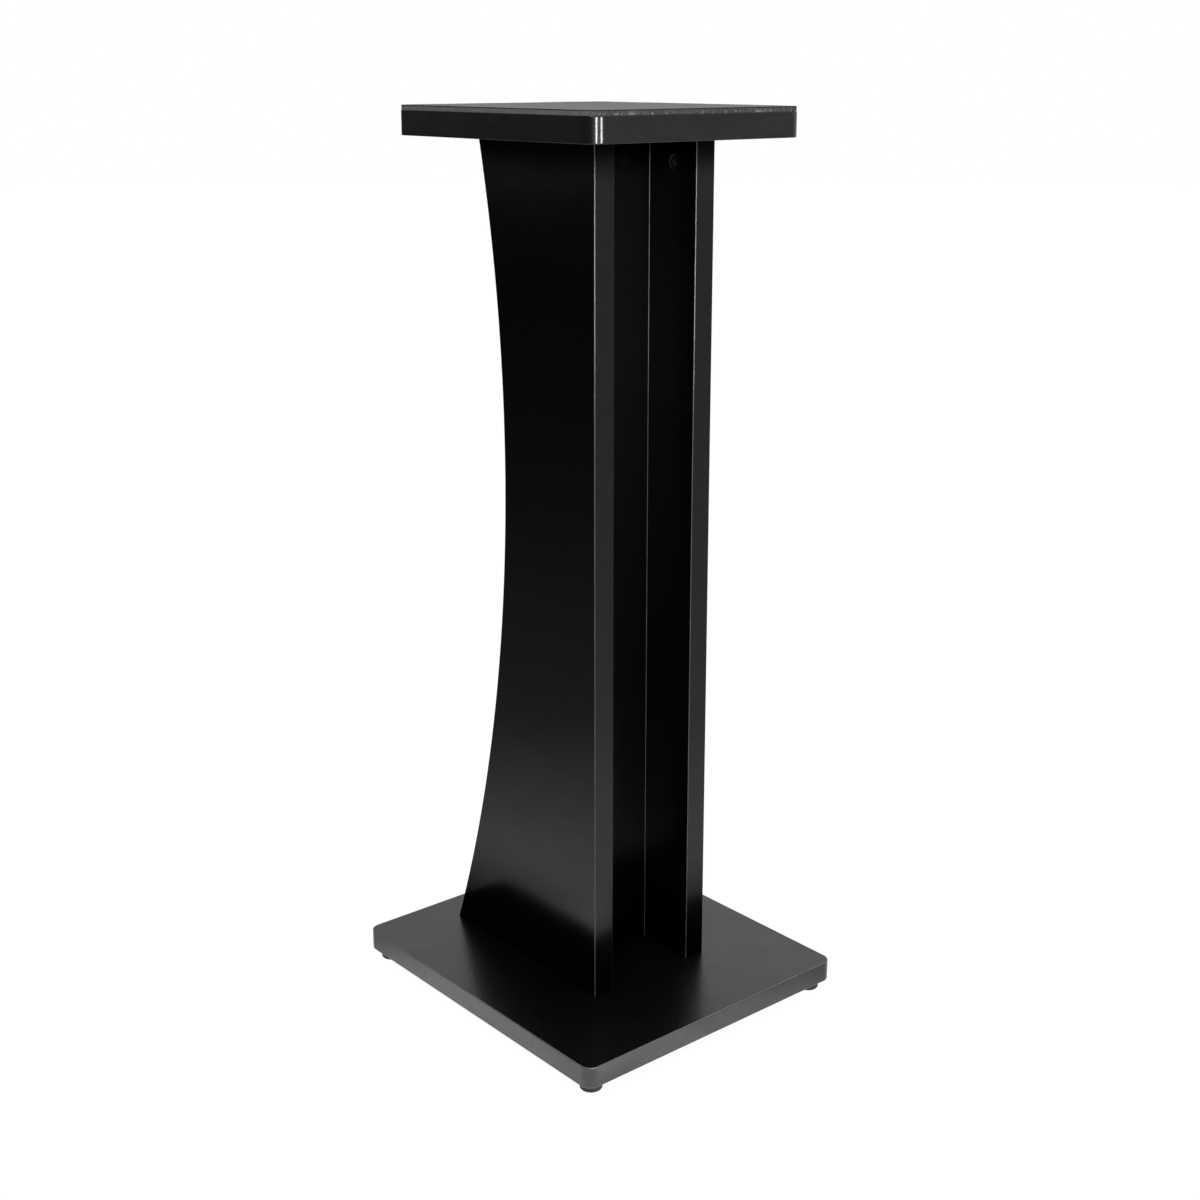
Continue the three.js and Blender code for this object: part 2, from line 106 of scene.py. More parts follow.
class StandShape(bpy.types.PropertyGroup):
    """Sizes that the construction model's boxes don't give"""

    edge_ease: length("Edge ease", "Radius of the eased edges of boards and plates", 0.0011)
    base_corner: length("Base corner", "Corner radius of the base plate, seen from above", 0.012)
    top_corner: length("Top corner", "Corner radius of the top plate and its pad, seen from above", 0.015)
    rear_radius: length("Rear edge radius", "Radius of the side boards' concave rear edge", 1.5)
    waist_depth: length("Waist depth", "Depth of the side boards where they are narrowest", 0.14)
    waist_height: length("Waist height", "Height of the waist above the base plate", 0.528)
    joint_bead: length("Joint bead", "Radius of the bead of lacquer between the web and a board", 0.0007)
    cam_room: length("Cam room", "Gap round a cam lock in its bore", 0.0003)
    bore_break: length("Bore break", "Width of the broken edge round a bore", 0.0003)
    bolt_room: length("Bolt room", "Gap round a countersunk bolt's head", 0.0003)
    pad_bow: length("Pad bow", "Height of the foam pad's slow unevenness", 0.00012)
    pad_pores: length("Pad pores", "Depth of the open cells in the pad's cut edge", 0.00016)
    foot_round: length("Foot round", "Radius round the bottom of a rubber foot", 0.0025)
    foot_well: length("Foot well", "Radius of the well for a foot's screw", 0.0055)
    foot_flange: length("Foot flange", "Rubber left above the well", 0.004)
    corner_steps: divisions("Corner steps", "Steps round a quarter of a rounded corner", 20)
    ease_steps: divisions("Ease steps", "Steps round an eased edge", 5)
    rear_steps: divisions("Rear steps", "Steps up the side boards' concave edge", 120)
    round_sides: divisions("Round sides", "Sides of a turned piece", 72, 3)


class StandFinish(bpy.types.PropertyGroup):
    """Colours and surface qualities of the finishes"""

    lacquer: colour("Lacquer", "Black lacquer on the boards and plates", (0.0012, 0.0012, 0.0013))
    # Painted highlight as well as wear: this grey along the eased edges also stands in for the bright
    # lines that they catch.
    rubbed: colour("Rubbed lacquer", "Lacquer greyed by wear along the eased edges", (0.24, 0.24, 0.243))
    foam: colour("Foam", "Grey foam of the pad", (0.205, 0.205, 0.205))
    rubber: colour("Rubber", "Rubber of the feet", (0.021, 0.021, 0.017))
    steel: colour("Steel", "Zinc-plated steel of the screws, bolts and washers", (0.55, 0.56, 0.58))
    cast_zinc: colour("Cast zinc", "Blackened zinc of the cam locks", (0.02, 0.02, 0.021))
    worn_zinc: colour("Worn zinc", "Zinc of the cam locks' broken edges", (0.06, 0.061, 0.063))
    brass: colour("Brass", "Brass of the threaded inserts", (0.62, 0.43, 0.18))
    beech: colour("Beech", "Wood of the dowels", (0.5, 0.33, 0.18))


class StandStudio(bpy.types.PropertyGroup):
    """Levels of the light, where 1 makes a white surface white"""

    overhead: watts("Overhead", "Power of the soft lamp overhead", 11.0)
    key: watts("Key", "Power of the soft lamp high up in front on the left", 16.0)
    strip: watts("Strips", "Power of each of the two tall strip lamps, seen in gloss alone", 42.0)
    fill: factor("Fill", "Level of the light from all round", 0.3)
    floor_white: factor("Floor white", "Level of the floor's own white", 1.12)
    shadow: factor("Shadow", "Share of the floor's white that a shadow can take away", 0.13)


SETTINGS = {"stand_shape": StandShape, "stand_finish": StandFinish, "stand_studio": StandStudio}


# ---------------------------------------------------------------------------- surfaces and meshes


def grid_faces(rows, columns, closed):
    """Numbers of the four corners of each face of a grid whose points are listed row by row. In a
    closed grid the last column is joined to the first."""
    index = np.arange(rows * columns).reshape(rows, columns)
    if closed:
        index = np.hstack([index, index[:, :1]])
    corners = [index[:-1, :-1], index[:-1, 1:], index[1:, 1:], index[1:, :-1]]
    return np.stack(corners, -1).reshape(-1, 4)


def patch(points, faces, normals, slot=0):
    """One stretch of surface: its points, its faces, the normal at each face's corners and its
    finish. The faces are turned so that they look the way that the normals point."""
    one, other = points[faces[:, 2]] - points[faces[:, 0]], points[faces[:, -1]] - points[faces[:, 1]]
    if np.einsum("ij,ij->", np.cross(one, other), normals.mean(1)) < 0:
        faces, normals = faces[:, ::-1], normals[:, ::-1]
    return points, faces, normals, slot


def grid_patch(points, normals, closed=True, slot=0):
    """A patch over a grid of points, whose first parameter is the row and second the column."""
    faces = grid_faces(*points.shape[:2], closed)
    return patch(points.reshape(-1, 3), faces, normals.reshape(-1, 3)[faces], slot)


def flat_patch(outline, normal, holes=(), slot=0):
    """A flat patch inside an outline and outside each hole, cut into triangles."""
    loops = [outline, *holes]
    triangles = np.array(tessellate_polygon([[tuple(point) for point in loop] for loop in loops]))
    points = np.vstack(loops)
    corners = points[triangles]
    facing = np.cross(corners[:, 1] - corners[:, 0], corners[:, 2] - corners[:, 0])
    whole = np.linalg.norm(facing, axis=1) > MERGE_STEP**2
    triangles, facing = triangles[whole], facing[whole]
    away = facing @ normal < 0
    triangles[away] = triangles[away][:, ::-1]
    normals = np.broadcast_to(np.asarray(normal, float), (*triangles.shape, 3))
    return points, triangles, normals, slot


def joined(patches):
    """Merges the corners that patches share. A face that lost a corner, as at a pole, becomes a
    triangle, and one with fewer than three corners left is dropped."""
    points = np.vstack([points for points, *_ in patches])
    _, first, number = np.unique(
        np.round(points / MERGE_STEP).astype(np.int64), axis=0, return_index=True, return_inverse=True
    )
    number = number.ravel()
    groups, start = [], 0
    for own, faces, normals, slot in patches:
        faces = number[faces + start]
        start += len(own)
        same = faces == np.roll(faces, -1, axis=1)
        whole = ~same.any(1)
        groups.append((faces[whole], normals[whole], slot))
        for side in range(faces.shape[1]) if faces.shape[1] == 4 else ():
            lost = same[:, side] & (same.sum(1) == 1)
            keep = [corner for corner in range(4) if corner != side]
            groups.append((faces[lost][:, keep], normals[lost][:, keep], slot))
    return points[first], [group for group in groups if len(group[0])]


def placed(name, data):
    """A new object in the scene."""
    new = bpy.data.objects.new(name, data)
    bpy.context.scene.collection.objects.link(new)
    return new


def build(name, patches, materials, node):
    """A closed mesh piece from its patches, with its finishes, riding on the stand in the place of
    the construction node that it stands for."""
    points, groups = joined(patches)
    used, loops = np.unique(np.concatenate([faces.ravel() for faces, *_ in groups]), return_inverse=True)
    sizes = np.concatenate([np.full(len(faces), faces.shape[1]) for faces, *_ in groups])
    slots = np.concatenate([np.full(len(faces), slot) for faces, _, slot in groups])
    normals = np.vstack([normals.reshape(-1, 3) for _, normals, _ in groups])
    mesh = bpy.data.meshes.new(name)
    mesh.vertices.add(len(used))
    mesh.vertices.foreach_set("co", points[used].ravel())
    mesh.loops.add(len(loops))
    mesh.loops.foreach_set("vertex_index", loops.ravel())
    mesh.polygons.add(len(sizes))
    mesh.polygons.foreach_set("loop_start", np.cumsum(sizes) - sizes)
    mesh.polygons.foreach_set("material_index", slots)
    mesh.update(calc_edges=True)
    mesh.polygons.foreach_set("use_smooth", np.ones(len(sizes), bool))
    for material in materials:
        mesh.materials.append(material)
    if mesh.validate():
        raise RuntimeError(f"{name} isn't a sound mesh")
    mesh.normals_split_custom_set(normals)
    piece = placed(name, mesh)
    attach(piece, BODY)
    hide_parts(node)
    return piece


def filleted(corners, radii, steps):
    """A closed outline in a plane with each corner rounded to its own radius, and its normals on the
    right of the way round. The round starts one tangent length before the corner, and its points
    are the fillet's centre plus its radius times a normal that turns from one side's to the next."""
    corners = np.asarray(corners, float)
    along = np.roll(corners, -1, axis=0) - corners
    along /= np.linalg.norm(along, axis=1, keepdims=True)
    points, normals = [], []
    for corner, radius, before, after in zip(corners, radii, np.roll(along, 1, axis=0), along):
        turn = math.atan2(before[0] * after[1] - before[1] * after[0], before @ after)
        angle = math.atan2(before[1], before[0]) - QUARTER_TURN + np.linspace(0, turn, steps + 1)
        normal = np.stack([np.cos(angle), np.sin(angle)], -1)
        side = math.copysign(radius, turn)
        centre = corner - abs(radius * math.tan(turn / 2)) * before - side * normal[0]
        points.append(centre + side * normal)
        normals.append(normal)
    return np.vstack(points), np.vstack(normals)


def rounded_rectangle(width, depth, radius, steps):
    """A rectangle's outline with rounded corners, anticlockwise from above, and its outward normals."""
    corners = np.array([(1, 1), (-1, 1), (-1, -1), (1, -1)]) * (width / 2, depth / 2)
    return filleted(corners, [radius] * 4, steps)


def turned(profile, normals, origin, axis, across, sides):
    """A profile of [radius, height] turned about an axis: a point is the origin, plus the height
    along the axis, plus the radius times the direction at the second parameter's angle."""
    axis, across = np.asarray(axis, float), np.asarray(across, float)
    angle = np.arange(sides) * FULL_TURN / sides
    direction = np.cos(angle)[:, None] * across + np.sin(angle)[:, None] * np.cross(axis, across)
    points = origin + profile[:, None, :1] * direction + profile[:, None, 1:] * axis
    outward = normals[:, None, :1] * direction + normals[:, None, 1:] * axis
    return grid_patch(points, outward)


def bore(origin, axis, across, steps, sides):
    """The inside of a round hole below a face that looks along axis, from its [radius, depth] steps,
    each a cone between two of them. Returns the patches and the ring where the hole meets the face."""
    patches = []
    for (radius, depth), (next_radius, next_depth) in zip(steps, steps[1:]):
        along = np.array([next_radius - radius, next_depth - depth])
        along /= np.linalg.norm(along)
        inward = np.tile([-along[1], -along[0]], (2, 1))
        profile = np.array([[radius, -depth], [next_radius, -next_depth]])
        patches.append(turned(profile, inward, origin, axis, across, sides))
    ring = patches[0][0][:sides]
    return patches, ring


def eased_plate(outline, outward, low, high, ease, steps):
    """The side of a plate: an outline carried up from low to high along a quarter circle of the ease
    radius, a straight side and another quarter circle. Returns the patches and the two end rings."""
    quarter = np.linspace(0, QUARTER_TURN, steps + 1)
    angle = np.concatenate([quarter - QUARTER_TURN, quarter])
    level = np.where(np.arange(len(angle)) <= steps, low + ease, high - ease) + ease * np.sin(angle)
    inset = ease * (1 - np.cos(angle))
    points = np.empty((len(angle), len(outline), 3))
    points[..., :2] = outline - inset[:, None, None] * outward
    points[..., 2] = level[:, None]
    normals = np.empty_like(points)
    normals[..., :2] = np.cos(angle)[:, None, None] * outward
    normals[..., 2] = np.sin(angle)[:, None]
    return grid_patch(points, normals), points[0], points[-1]


# ------------------------------------------------------------------------------------- materials


class Graph:
    """Adds nodes to a material's or world's node tree. An input that is a socket is joined, and any
    other value is set on the socket itself."""

    def __init__(self, owner):
        owner.use_nodes = True
        self.tree = owner.node_tree
        self.tree.nodes.clear()

    def add(self, kind, inputs=None, **attributes):
        node = self.tree.nodes.new(kind)
        for name, value in attributes.items():
            setattr(node, name, value)
        for name, value in (inputs or {}).items():
            if isinstance(value, bpy.types.NodeSocket):
                self.tree.links.new(value, node.inputs[name])
            else:
                node.inputs[name].default_value = value
        return node

    def place(self):
        return self.add("ShaderNodeTexCoord").outputs["Object"]

    def noise(self, vector, scale, detail=2.0, roughness=0.5):
        values = {"Vector": vector, "Scale": scale, "Detail": detail, "Roughness": roughness}
        return self.add("ShaderNodeTexNoise", values).outputs["Fac"]

    def parts(self, vector):
        return self.add("ShaderNodeSeparateXYZ", {"Vector": vector}).outputs

    def facing(self, axis):
        """The normal's share along an axis of the object."""
        return self.parts(self.add("ShaderNodeTexCoord").outputs["Normal"])[axis]

    def stretched(self, vector, scale):
        return self.add("ShaderNodeMapping", {"Vector": vector, "Scale": scale}).outputs[0]

    def cells(self, vector, scale):
        return self.add("ShaderNodeTexVoronoi", {"Vector": vector, "Scale": scale}).outputs["Distance"]

    def maths(self, operation, first, second=0.0):
        return self.add("ShaderNodeMath", {0: first, 1: second}, operation=operation).outputs[0]

    def plus(self, first, second):
        return self.maths("ADD", first, second)

    def minus(self, first, second):
        return self.maths("SUBTRACT", first, second)

    def times(self, first, second):
        return self.maths("MULTIPLY", first, second)

    def between(self, value, low, high, out_low, out_high, smooth=False):
        """Maps a value from one range to another, held at the ends."""
        values = {
            "Value": value, "From Min": low, "From Max": high, "To Min": out_low, "To Max": out_high
        }
        kind = "SMOOTHSTEP" if smooth else "LINEAR"
        return self.add("ShaderNodeMapRange", values, interpolation_type=kind).outputs["Result"]

    def mixed(self, share, first, second):
        node = self.add("ShaderNodeMix", {"Factor": share}, data_type="RGBA")
        for socket, value in ((node.inputs[6], first), (node.inputs[7], second)):
            if isinstance(value, bpy.types.NodeSocket):
                self.tree.links.new(value, socket)
            else:
                socket.default_value = value
        return node.outputs[2]

    def ramp(self, value, stops):
        node = self.add("ShaderNodeValToRGB", {"Fac": value})
        elements = node.color_ramp.elements
        while len(elements) < len(stops):
            elements.new(1.0)
        for element, (position, level) in zip(elements, stops):
            element.position = position
            element.color = (level, level, level, 1.0)
        return node.outputs["Color"]

    def bump(self, height, distance, normal=None):
        values = {"Height": height, "Distance": distance, "Strength": 1.0}
        if normal is not None:
            values["Normal"] = normal
        return self.add("ShaderNodeBump", values).outputs["Normal"]

    def shining(self, level):
        return self.add("ShaderNodeEmission", {"Color": WHITE, "Strength": level}).outputs[0]

    def blended(self, share, first, second):
        """Two shaders mixed, where a share of 1 gives the second."""
        return self.add("ShaderNodeMixShader", {0: share, 1: first, 2: second}).outputs[0]

    def surface(self, **inputs):
        """A Principled shader as the material's surface, its inputs named with underscores."""
        values = {name.replace("_", " "): value for name, value in inputs.items()}
        shader = self.add("ShaderNodeBsdfPrincipled", values)
        self.add("ShaderNodeOutputMaterial", {"Surface": shader.outputs[0]})


def opaque(rgb, level=1.0):
    """A colour at a share of its level, with the alpha that colour sockets take."""
    return (rgb[0] * level, rgb[1] * level, rgb[2] * level, 1.0)


def shared_material(fill):
    """Turns a function that fills a material's graph into one that returns the material, made the
    first time that it is asked for. It is named after its kind, or else after the function."""

    def material(*kind):
        name = kind[0] if kind else fill.__name__
        found = bpy.data.materials.get(name)
        if found is None:
            found = bpy.data.materials.new(name)
            fill(Graph(found), bpy.context.scene.stand_finish, *kind)
        return found

    return material


# For each kind of lacquer: the share of the lacquer's colour; the roughness and strength of its sheen
# and of its top coat; how cloudy and how speckled the coat is; the depth of the fine waves in it; the
# axis that an eased edge's normal turns away from; and how far that edge is greyed, partly by wear and
# partly as a painted highlight. The plates were sprayed lying flat and took an uneven coat, and the
# base plate's edge is greyed most, more as painted highlight than as wear.
LACQUERS = {
    "board_lacquer": {
        "shade": 1.0, "rough": 0.45, "sheen": 0.0, "coat": 0.95, "coat_rough": 0.165, "cloudy": 0.07,
        "speckled": 0.05, "waves": 0.00002, "eased": "X", "rubbed": 0.6,
    },
    # Painted light: the top plate's lacquer colour is four times the boards', a lit copy of the same
    # black for the light that its sides catch.
    "top_lacquer": {
        "shade": 4.0, "rough": 0.4, "sheen": 0.06, "coat": 0.84, "coat_rough": 0.178, "cloudy": 0.28,
        "speckled": 0.05, "waves": 0.00001, "eased": "Z", "rubbed": 0.32,
    },
    "base_lacquer": {
        "shade": 1.0, "rough": 0.3, "sheen": 0.5, "coat": 0.4, "coat_rough": 0.21, "cloudy": 0.28,
        "speckled": 0.3, "waves": 0.00003, "eased": "Z", "rubbed": 1.0,
    },
}
REFRACTION = 1.5  # index of lacquer, rubber and wood
PEEL_DEPTH = 0.000012  # of the spray gun's orange peel
BROAD_DEPTH = 0.00025  # of the board's own unevenness
PAINTED_SHADE_FOOT = (0.008, 0.13)  # painted shade: heights above the base plate where a board's coat starts and is full
PAINTED_SHADE_HEAD = (0.045, 0.006)  # painted shade: depths below the top plate where the coat starts to fade and has faded


@shared_material
def black_lacquer(graph, finish, name):
    """Satin black lacquer on board: a soft sheen under a tighter top coat, with a slow cloudiness and
    a speckle in the gloss, the fine orange peel that a spray gun leaves, and a broad, very shallow
    unevenness of the board under it. The eased edges are greyed in places, partly by wear and partly
    as a painted highlight, but for the one that the pad covers. On the upright boards the coat fades
    out towards the plates, as painted shade where the plates shade them."""
    kind = LACQUERS[name]
    place = graph.place()
    shade = kind["shade"]
    clouds = graph.noise(place, 11.0, 4.0, 0.6)
    tint = graph.mixed(clouds, opaque(finish.lacquer, 0.8 * shade), opaque(finish.lacquer, 1.25 * shade))
    grit = graph.between(graph.noise(place, 900.0, 1.0), 0.35, 0.65, -0.015, 0.02)
    rough = graph.between(clouds, 0.3, 0.7, kind["rough"] - 0.025, kind["rough"] + 0.03)

    mottle = graph.noise(place, 130.0, 3.0, 0.6)
    streaks = graph.noise(graph.stretched(place, (1.0, 1.0, 0.02)), 240.0, 2.0, 0.6)
    broad = graph.bump(graph.noise(place, 16.0, 1.0), BROAD_DEPTH)
    waves = graph.bump(graph.plus(mottle, streaks), kind["waves"], broad)
    peel = graph.bump(graph.noise(place, 420.0, 2.0, 0.45), PEEL_DEPTH, waves)

    # The square of a unit normal's share along an axis is 0 or 1 on flat faces and between on an ease.
    along = graph.facing(kind["eased"])
    square = graph.times(along, along)
    ease = graph.times(square, graph.minus(1.0, square))
    # Painted highlight as well as wear: the eased edges are greyed in patches, a grey that also stands in
    # for the bright lines that they catch.
    most = kind["rubbed"]
    wear_and_highlight_share = graph.between(graph.noise(place, 35.0, 3.0), 0.35, 0.65, 0.6 * most, most)
    rubbed = graph.times(graph.between(ease, 0.06, 0.2, 0.0, 1.0, True), wear_and_highlight_share)
    if name == "top_lacquer":
        rubbed = graph.times(rubbed, graph.between(along, -0.1, 0.0, 1.0, 0.0))
    tint = graph.mixed(rubbed, tint, opaque(finish.rubbed))

    full, speckled = kind["coat"], kind["speckled"]
    blotches = graph.noise(graph.stretched(place, (1.0, 1.0, 3.5)), 24.0, 5.0, 0.65)
    coat = graph.between(blotches, 0.35, 0.65, (1.0 - kind["cloudy"]) * full, full)
    speckle = graph.noise(place, 330.0, 3.0, 0.7)
    coat = graph.times(coat, graph.between(speckle, 0.35, 0.65, 1.0 - speckled, 1.0 + speckled))
    # Painted shade: the boards' coat fades out near the base plate and just under the top plate,
    # darkening them where the plates shade them.
    if name == "board_lacquer":
        low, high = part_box("web_panel")
        height = graph.parts(place)["Z"]
        foot = graph.between(height, low.z + PAINTED_SHADE_FOOT[0], low.z + PAINTED_SHADE_FOOT[1], 0.0, 1.0, True)
        head = graph.between(height, high.z - PAINTED_SHADE_HEAD[0], high.z - PAINTED_SHADE_HEAD[1], 1.0, 0.1, True)
        coat = graph.times(coat, graph.times(foot, head))
    graph.surface(
        Base_Color=tint, Roughness=graph.plus(rough, grit), IOR=REFRACTION, Normal=peel,
        Specular_IOR_Level=kind["sheen"], Coat_Weight=coat, Coat_Roughness=kind["coat_rough"],
        Coat_IOR=REFRACTION, Coat_Normal=peel,
    )


FOAM_REFRACTION = 1.45
SKIN_DEPTH = (0.0012, 0.0008)  # below the pad's top, where its dark skin starts and is full
TORN_DEPTH = (0.0036, 0.0022)  # where the torn flecks in its cut edge are many and where they are few


@shared_material
def foam_skin(graph, finish):
    """The pad's upper skin: closed cells under a millimetre across, in a grey that wanders a little."""
    place = graph.place()
    cells = graph.cells(place, 1500.0)
    clouds = graph.noise(place, 60.0, 3.0, 0.6)
    grain = graph.noise(place, 2600.0, 2.0, 0.7)
    wander = graph.between(clouds, 0.3, 0.7, 0.3, 0.6)
    shade = graph.plus(wander, graph.between(grain, 0.3, 0.7, -0.3, 0.3))
    tint = graph.mixed(shade, opaque(finish.foam, 0.74), opaque(finish.foam, 1.04))
    pores = graph.bump(graph.between(cells, 0.0, 0.6, 0.0, 1.0), 0.00012)
    normal = graph.bump(grain, 0.00008, pores)
    graph.surface(
        Base_Color=tint, Roughness=0.92, IOR=FOAM_REFRACTION, Specular_IOR_Level=0.35,
        Sheen_Weight=0.12, Sheen_Roughness=0.6, Normal=normal,
    )


@shared_material
def foam_cut(graph, finish):
    """The pad's cut edge: open cells, torn at the front and rear into pale flecks, with fewer flecks and
    a lighter grey along the sides, and the darker skin as a thin line along the top."""
    place = graph.place()
    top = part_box("top_pad")[1].z
    height = graph.parts(place)["Z"]
    cells = graph.cells(place, 900.0)
    fibres = graph.noise(place, 1300.0, 3.0, 0.75)
    patches = graph.noise(place, 45.0, 2.0, 0.5)
    strands = graph.noise(graph.stretched(place, (1.0, 1.0, 0.45)), 480.0, 2.0, 0.6)
    ahead = graph.facing("Y")
    at_ends = graph.between(graph.times(ahead, ahead), 0.3, 0.8, 0.0, 1.0, True)

    torn = graph.between(graph.plus(strands, graph.times(patches, 0.4)), 0.77, 0.87, 0.0, 1.0)
    low_down = graph.between(height, top - TORN_DEPTH[0], top - TORN_DEPTH[1], 1.0, 0.25, True)
    torn = graph.times(torn, graph.times(low_down, graph.between(at_ends, 0.0, 1.0, 0.15, 1.0)))
    hollows = graph.between(cells, 0.0, 0.55, 0.0, 0.7)
    shade = graph.plus(hollows, graph.between(strands, 0.35, 0.65, -0.2, 0.4))
    body = graph.mixed(shade, opaque(finish.foam, 0.36), opaque(finish.foam, 0.84))
    lighter_sides = graph.between(at_ends, 0.0, 1.0, 0.35, 0.0)
    body = graph.mixed(lighter_sides, body, opaque(finish.foam, 1.05))
    flecked = graph.mixed(torn, body, opaque(finish.foam, 2.2))
    skin = graph.between(height, top - SKIN_DEPTH[0], top - SKIN_DEPTH[1], 0.0, 1.0, True)
    tint = graph.mixed(skin, flecked, opaque(finish.foam, 0.1))
    normal = graph.bump(graph.plus(cells, fibres), 0.0003)
    graph.surface(
        Base_Color=tint, Roughness=0.97, IOR=FOAM_REFRACTION, Specular_IOR_Level=0.2, Normal=normal
    )


@shared_material
def foot_rubber(graph, finish):
    """Moulded rubber: almost matt, faintly olive, with a fine pebble and a duller bloom in patches."""
    place = graph.place()
    bloom = graph.noise(place, 120.0, 3.0, 0.6)
    pebble = graph.noise(place, 2400.0, 1.0)
    tint = graph.mixed(bloom, opaque(finish.rubber, 0.75), opaque(finish.rubber, 1.35))
    rough = graph.between(bloom, 0.3, 0.7, 0.5, 0.68)
    graph.surface(Base_Color=tint, Roughness=rough, IOR=REFRACTION, Normal=graph.bump(pebble, 0.00005))


# For each metal: its colour in the settings, its roughness, the scale of its grain and how much the
# grain is squeezed along each axis.
METALS = {
    "zinced_steel": ("steel", 0.32, 2200.0, (1.0, 1.0, 1.0)),
    "cast_zinc": ("cast_zinc", 0.42, 1500.0, (1.0, 1.0, 1.0)),
    "worn_zinc": ("worn_zinc", 0.3, 1500.0, (1.0, 1.0, 1.0)),
    "turned_brass": ("brass", 0.3, 1800.0, (1.0, 1.0, 6.0)),
}


@shared_material
def metal(graph, finish, name):
    """A metal with a fine grain in its gloss, turned marks where it is squeezed, and faint clouding."""
    field, roughness, grain_scale, squeezed = METALS[name]
    rgb = getattr(finish, field)
    grain = graph.noise(graph.stretched(graph.place(), squeezed), grain_scale, 3.0, 0.6)
    clouds = graph.noise(graph.place(), 260.0, 2.0)
    tint = graph.mixed(clouds, opaque(rgb, 0.85), opaque(rgb, 1.1))
    rough = graph.between(grain, 0.3, 0.7, roughness - 0.07, roughness + 0.1)
    graph.surface(Base_Color=tint, Metallic=1.0, Roughness=rough, Normal=graph.bump(grain, 0.00003))


@shared_material
def beech_wood(graph, finish):
    """Beech: pale wood with grain drawn out along the dowel and short darker flecks."""
    place = graph.place()
    long_grain = graph.stretched(place, (9.0, 9.0, 1.0))
    rings = graph.noise(long_grain, 40.0, 3.0, 0.6)
    flecks = graph.noise(graph.stretched(place, (14.0, 14.0, 2.0)), 120.0)
    tint = graph.mixed(rings, opaque(finish.beech, 0.72), opaque(finish.beech, 1.2))
    tint = graph.mixed(graph.between(flecks, 0.62, 0.72, 0.0, 0.6), tint, opaque(finish.beech, 0.45))
    graph.surface(Base_Color=tint, Roughness=0.6, IOR=REFRACTION, Normal=graph.bump(rings, 0.0001))


# ---------------------------------------------------------------------------------------- pieces


def extent(node):
    """Lowest and highest corner of a construction node, as arrays."""
    low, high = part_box(node)
    return np.array(low), np.array(high)


class STAND_OT_plates(bpy.types.Operator):
    """Make the base plate and the top plate, with eased edges and rounded corners"""

    bl_idname = "speaker_stand.plates"
    bl_label = "Plates"

    HEAD_RIM = 0.0005  # straight part of a bolt head's rim

    def execute(self, context):
        shape = context.scene.stand_shape
        self.plate("base", shape.base_corner, shape, PLACES)
        self.plate("top", shape.top_corner, shape, ())
        return {"FINISHED"}

    def plate(self, part, radius, shape, bolt_places):
        low, high = extent(f"{part}_plate")
        width, depth, _ = high - low
        outline, outward = rounded_rectangle(width, depth, radius, shape.corner_steps)
        ease, steps = shape.edge_ease, shape.ease_steps
        side, bottom, top = eased_plate(outline, outward, low[2], high[2], ease, steps)
        patches, holes = [side], []
        for place in bolt_places:
            hole, ring = self.countersink(f"base_bolt_{place}", low[2], shape)
            patches += hole
            holes.append(ring)
        patches.append(flat_patch(bottom, (0, 0, -1), holes))
        patches.append(flat_patch(top, (0, 0, 1)))
        lacquer = black_lacquer(f"{part}_lacquer")
        return build(f"{part}_board", patches, [lacquer], f"{part}_plate")

    def countersink(self, bolt, face, shape):
        """The countersunk mouth round a bolt's head: a short straight rim, then a cone to the shank,
        closed where the shank fills it."""
        low, high = extent(bolt)
        middle = (low + high) / 2
        head = (high[0] - low[0]) / 2 + shape.bolt_room
        rim = self.HEAD_RIM + shape.bolt_room
        shank = head / 2
        origin = (middle[0], middle[1], face)
        steps = [(head, 0.0), (head, rim), (shank, rim + head - shank), (0.0, rim + head - shank)]
        return bore(origin, (0, 0, -1), (1, 0, 0), steps, shape.round_sides)


